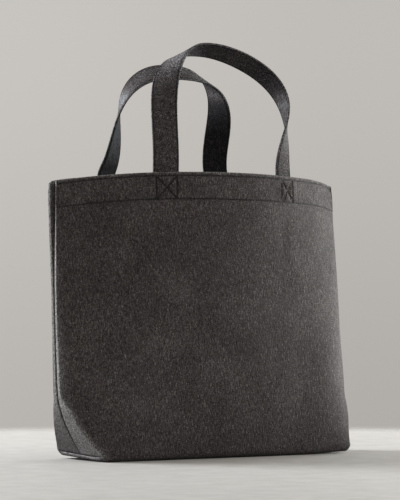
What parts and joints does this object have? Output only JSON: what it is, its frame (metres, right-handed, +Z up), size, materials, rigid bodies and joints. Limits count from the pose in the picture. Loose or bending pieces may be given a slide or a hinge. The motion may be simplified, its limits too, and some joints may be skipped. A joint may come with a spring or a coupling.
{
  "type": "knitting bag",
  "caption": "Open felt craft bag for yarn and needles, with a boxed base, a stitched rim facing and strap handles sewn inside the mouth.",
  "frame": {"origin": "on the floor under the middle of the bag", "axes": "+Z up, X along the mouth between the side seams, the pictured front faces -Y"},
  "size_m": [0.4335, 0.1814, 0.5131],
  "materials": {
    "felt": "matt wool felt, charcoal",
    "strap": "matt wool felt, charcoal",
    "thread": "dark sewing thread"
  },
  "bodies": {
    "bag": {"front_panel": "felt", "back_panel": "felt", "front_facing": "felt", "back_facing": "felt", "front_strap_sewn_ends": "strap", "front_strap_bends": "strap", "back_strap_sewn_ends": "strap", "back_strap_bends": "strap", "front_rim_stitching": "thread", "back_rim_stitching": "thread", "front_hem_stitching": "thread", "back_hem_stitching": "thread", "front_box_stitching": "thread", "back_box_stitching": "thread", "left_side_seam": "thread", "right_side_seam": "thread", "left_corner_seam": "thread", "right_corner_seam": "thread", "base_seam": "thread"},
    "front_handle": {"front_strap_loop": "strap", "front_strap_stitching": "thread"},
    "back_handle": {"back_strap_loop": "strap", "back_strap_stitching": "thread"}
  },
  "joints": [
    {"name": "front_handle_swing", "type": "hinge", "parent": "bag", "child": "front_handle", "pos_m": [0, -0.0666, 0.3721], "axis": [1, 0, 0], "range_deg": [-11, 132], "deforming": ["front_strap_bends"]},
    {"name": "back_handle_swing", "type": "hinge", "parent": "bag", "child": "back_handle", "pos_m": [0, 0.0595, 0.3721], "axis": [-1, 0, 0], "range_deg": [-11, 126], "deforming": ["back_strap_bends"]}
  ]
}
